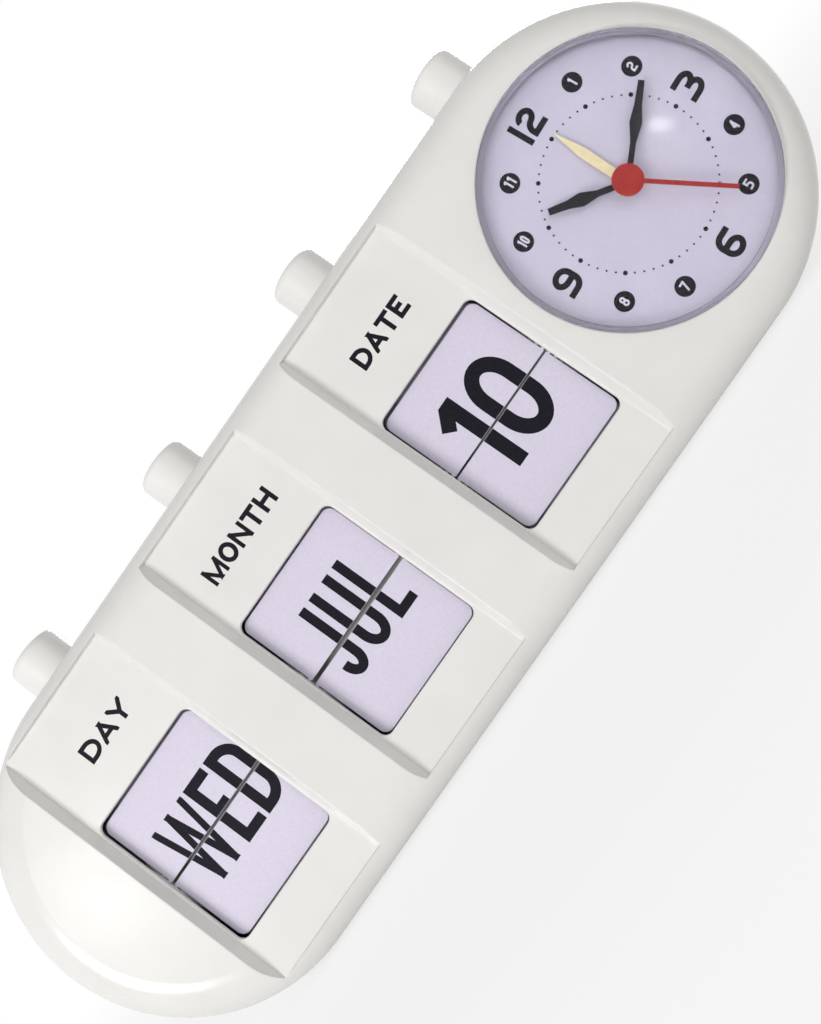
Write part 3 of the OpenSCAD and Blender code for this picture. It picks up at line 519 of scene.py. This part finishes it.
DIAL_DEPTH = 3.5
DIAL_TURN = -3.2
HOUR_STEP = 30
NUMBER_R = 24.0
SIDE_NUMBER_R = 23.2
DISC_R = 2.15
DISC_SIDES = 40
DOT_RING_R = 18.2
HOUR_DOT_R = 0.5
MINUTE_DOT_R = 0.22
DOT_SIDES = 16
BIG = {"wide": 4.9, "high": 6.2, "stroke": 1.3}
SMALL = {"wide": 1.35, "high": 2.3, "stroke": 0.42}
# Shares of a number's usual width, and its gap as a share of the stroke
ONE_WIDE = 0.6
TWELVE_WIDE = 1.3
NUMBER_GAP = 0.6
dial_face = front_matrix(CLOCK + DIAL_DEPTH * MM * INWARD)


def round_dot(bm, x, z, r, sides):
    """Adds a flat round dot."""
    upright = Matrix.Translation((x, 0, z)) @ Matrix.Rotation(math.pi / 2, 4, "X")
    bmesh.ops.create_circle(bm, cap_ends=True, segments=sides, radius=r, matrix=upright)


def on_ring(hour, r):
    """The place of an hour on a ring of the dial."""
    turn = math.radians(HOUR_STEP * hour + DIAL_TURN)
    return r * math.sin(turn), r * math.cos(turn)


def number(text, look):
    """An hour's number, centred on the origin; the one of twelve is a plain upright."""
    wide = look["wide"] * (1 + len(text)) / 2
    if text == "1":
        wide = look["wide"] * ONE_WIDE
    if text == "12":
        text, wide = "I2", look["wide"] * TWELVE_WIDE
    return word(text, wide, look["high"], look["stroke"], look["stroke"] * NUMBER_GAP)


def stand_at(bm, x, z, turn):
    """Turns a number and moves it to its place on the dial."""
    bmesh.ops.rotate(bm, verts=bm.verts, cent=(0, 0, 0), matrix=Matrix.Rotation(turn, 3, "Y"))
    bmesh.ops.translate(bm, verts=bm.verts, vec=(x, 0, z))


dots = bmesh.new()
discs = bmesh.new()
for minute in range(60):
    x, z = on_ring(minute / 5, DOT_RING_R)
    round_dot(dots, x, z, HOUR_DOT_R if minute % 5 == 0 else MINUTE_DOT_R, DOT_SIDES)
on_disc = Matrix.Translation(-INK_T * MM * INWARD) @ dial_face
for hour in range(1, 13):
    big = hour % 3 == 0
    x, z = on_ring(hour, SIDE_NUMBER_R if hour in (3, 9) else NUMBER_R)
    figure = number(str(hour), BIG if big else SMALL)
    stand_at(figure, x, z, math.radians(DIAL_TURN))
    if big:
        ink_piece("dial_number_%d" % hour, figure, dial_face, "case", INK)
    else:
        ink_piece("dial_number_%d" % hour, figure, on_disc, "case", PAPER_INK)
        round_dot(discs, x, z, DISC_R, DISC_SIDES)
ink_piece("dial_dots", dots, dial_face, "case", INK)
ink_piece("dial_discs", discs, dial_face, "case", INK)


# Paint over the second hand's hub, which hides the end of its arbor

HUB_PAINT_R = 3.2

hub = bmesh.new()
round_dot(hub, 0, 0, HUB_PAINT_R, DISC_SIDES)
hub_depth = min((v.co - CLOCK).dot(INWARD) for v in nodes["second_hand"].data.vertices)
hub_face = front_matrix(CLOCK + hub_depth * INWARD)
ink_piece("second_hub_paint", hub, hub_face, "second_work", FINISHES["hand_red"])


# Return springs of round wire

SPRING_TURNS = 4
SPRING_WIRE = 0.5
WIRE_SIDES = 12
COIL_STEPS = 32


def coil(radius, height):
    """A coil of wire in millimetres, its foot at the origin."""
    bm = bmesh.new()
    wire_r = SPRING_WIRE / 2
    count = SPRING_TURNS * COIL_STEPS
    rings = []
    for i in range(count + 1):
        turn = math.tau * i / COIL_STEPS
        middle = wire_r + (height - SPRING_WIRE) * i / count
        ring = []
        for k in range(WIRE_SIDES):
            around = math.tau * k / WIRE_SIDES
            out = radius + wire_r * math.cos(around)
            place = (out * math.cos(turn), out * math.sin(turn), middle + wire_r * math.sin(around))
            ring.append(bm.verts.new(place))
        rings.append(ring)
    for near, far in zip(rings, rings[1:]):
        for k in range(WIRE_SIDES):
            after = (k + 1) % WIRE_SIDES
            bm.faces.new((near[k], far[k], far[after], near[after]))
    bm.faces.new(rings[0])
    bm.faces.new(rings[-1])
    bmesh.ops.recalc_face_normals(bm, faces=bm.faces)
    return bm


def return_spring(button):
    """A smooth coil in the CAD spring's space, in place of the CAD spring."""
    node = button + "_spring"
    corners = [v.co for v in nodes[node].data.vertices]
    spans = []
    for way in (ALONG, INWARD, UPWARD):
        reach = [c.dot(way) for c in corners]
        spans.append((min(reach), max(reach)))
    (left, right), (front, back), (foot, top) = spans
    origin = (left + right) / 2 * ALONG + (front + back) / 2 * INWARD + foot * UPWARD
    bm = coil((right - left) / 2 / MM - SPRING_WIRE / 2, (top - foot) / MM)
    piece = add_piece(button + "_coil", bm, front_matrix(origin), "case", FINISHES["steel"])
    piece.data.shade_smooth()
    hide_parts(node)
    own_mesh(piece)


for unit in UNITS:
    return_spring(unit + "_button")
return_spring("alarm_button")


# Stage, light and camera: the floor's and the lamps' sizes and places are in metres

FLOOR_SIZE = 40
FLOOR_GREY = (0.9, 0.9, 0.9, 1)
FADE_START = 0.12
FADE_END = 0.45
NEAR_WHITE = 0.76
AMBIENT = 0.39
EYE = Vector((18.9, -356.9, 65.6)) * MM
AIM = Vector((1.9, -15.0, 38.85)) * MM
ROLL = math.radians(-55.34)
LENS = 57.74
SENSOR_WIDTH = 36
CLIP_START = 0.01
FORWARD = (AIM - EYE).normalized()
LEVEL = FORWARD.cross(Vector((0, 0, 1))).normalized()
PICTURE_LEVEL = LEVEL * math.cos(ROLL) + LEVEL.cross(FORWARD) * math.sin(ROLL)
MIDDLE = (0, 0, 0.04)
LAMPS = (
    {"name": "key", "place": (-0.8, -0.94, 0.24), "aim": MIDDLE,
     "wide": 0.42, "high": 0.42, "power": 7.2},
    {"name": "window", "place": (-0.4, -0.85, 0.355), "aim": (-0.1, 0, 0.04),
     "wide": 0.09, "high": 0.06, "power": 0.36},
    {"name": "glint", "place": (0.46, -0.85, 0.36), "aim": (0.08, 0, 0.04),
     "wide": 0.09, "high": 0.045, "power": 0.4},
    {"name": "fill", "place": (0.75, -0.55, 0.25), "aim": MIDDLE,
     "wide": 0.4, "high": 0.4, "power": 0.6},
    {"name": "back", "place": (0.3, 0.95, 0.22), "aim": MIDDLE,
     "wide": 0.4, "high": 0.4, "power": 3.0},
)


def seen_rays(tree):
    """One where the camera, a gloss or a clear piece looks at the background, else zero."""
    path = tree.nodes.new("ShaderNodeLightPath")
    total = path.outputs["Is Camera Ray"]
    for ray in ("Is Glossy Ray", "Is Transmission Ray"):
        most = tree.nodes.new("ShaderNodeMath")
        most.operation = "MAXIMUM"
        tree.links.new(total, most.inputs[0])
        tree.links.new(path.outputs[ray], most.inputs[1])
        total = most.outputs["Value"]
    return total


def stage_floor():
    """A wide white floor that keeps a soft shadow near the clock and fades to white further out."""
    bpy.ops.mesh.primitive_plane_add(size=FLOOR_SIZE)
    floor = bpy.context.object
    floor.name = "floor"
    material = bpy.data.materials.new("floor_white")
    material.use_nodes = True
    tree = material.node_tree
    tree.nodes.clear()
    output = tree.nodes.new("ShaderNodeOutputMaterial")
    diffuse = tree.nodes.new("ShaderNodeBsdfDiffuse")
    diffuse.inputs["Color"].default_value = FLOOR_GREY
    white = tree.nodes.new("ShaderNodeEmission")
    place = tree.nodes.new("ShaderNodeTexCoord")
    length = tree.nodes.new("ShaderNodeVectorMath")
    length.operation = "LENGTH"
    fade = tree.nodes.new("ShaderNodeMapRange")
    fade.inputs["From Min"].default_value = FADE_START
    fade.inputs["From Max"].default_value = FADE_END
    fade.inputs["To Min"].default_value = NEAR_WHITE
    fade.inputs["To Max"].default_value = 1.0
    share = tree.nodes.new("ShaderNodeMath")
    share.operation = "MULTIPLY"
    mix = tree.nodes.new("ShaderNodeMixShader")
    tree.links.new(place.outputs["Object"], length.inputs[0])
    tree.links.new(length.outputs["Value"], fade.inputs["Value"])
    tree.links.new(fade.outputs["Result"], share.inputs[0])
    tree.links.new(seen_rays(tree), share.inputs[1])
    tree.links.new(share.outputs["Value"], mix.inputs["Fac"])
    tree.links.new(diffuse.outputs["BSDF"], mix.inputs[1])
    tree.links.new(white.outputs["Emission"], mix.inputs[2])
    tree.links.new(mix.outputs["Shader"], output.inputs["Surface"])
    floor.data.materials.append(material)


def stage_world():
    """A white background, which lights the clock less than it shows."""
    world = bpy.data.worlds.new("white_room")
    bpy.context.scene.world = world
    world.use_nodes = True
    tree = world.node_tree
    background = tree.nodes["Background"]
    background.inputs["Color"].default_value = (1, 1, 1, 1)
    strength = tree.nodes.new("ShaderNodeMapRange")
    strength.inputs["To Min"].default_value = AMBIENT
    strength.inputs["To Max"].default_value = 1.0
    tree.links.new(seen_rays(tree), strength.inputs["Value"])
    tree.links.new(strength.outputs["Result"], background.inputs["Strength"])


def area_light(name, place, aim, wide, high, power):
    """An oval lamp, its width along the picture's own level."""
    data = bpy.data.lights.new(name, "AREA")
    data.shape = "ELLIPSE"
    data.size = wide
    data.size_y = high
    data.energy = power
    lamp = bpy.data.objects.new(name, data)
    away = (Vector(place) - Vector(aim)).normalized()
    side = (PICTURE_LEVEL - PICTURE_LEVEL.dot(away) * away).normalized()
    lamp.matrix_world = axes_matrix(side, away.cross(side), away, place)
    bpy.context.scene.collection.objects.link(lamp)


def photo_camera():
    """The camera at the photo's angle, rolled as the photo is."""
    data = bpy.data.cameras.new("camera")
    data.lens = LENS
    data.sensor_width = SENSOR_WIDTH
    data.clip_start = CLIP_START
    camera = bpy.data.objects.new("camera", data)
    camera.matrix_world = axes_matrix(PICTURE_LEVEL, PICTURE_LEVEL.cross(FORWARD), -FORWARD, EYE)
    bpy.context.scene.collection.objects.link(camera)
    bpy.context.scene.camera = camera


bpy.context.scene.view_settings.view_transform = "Standard"
stage_floor()
stage_world()
for lamp in LAMPS:
    area_light(**lamp)
photo_camera()
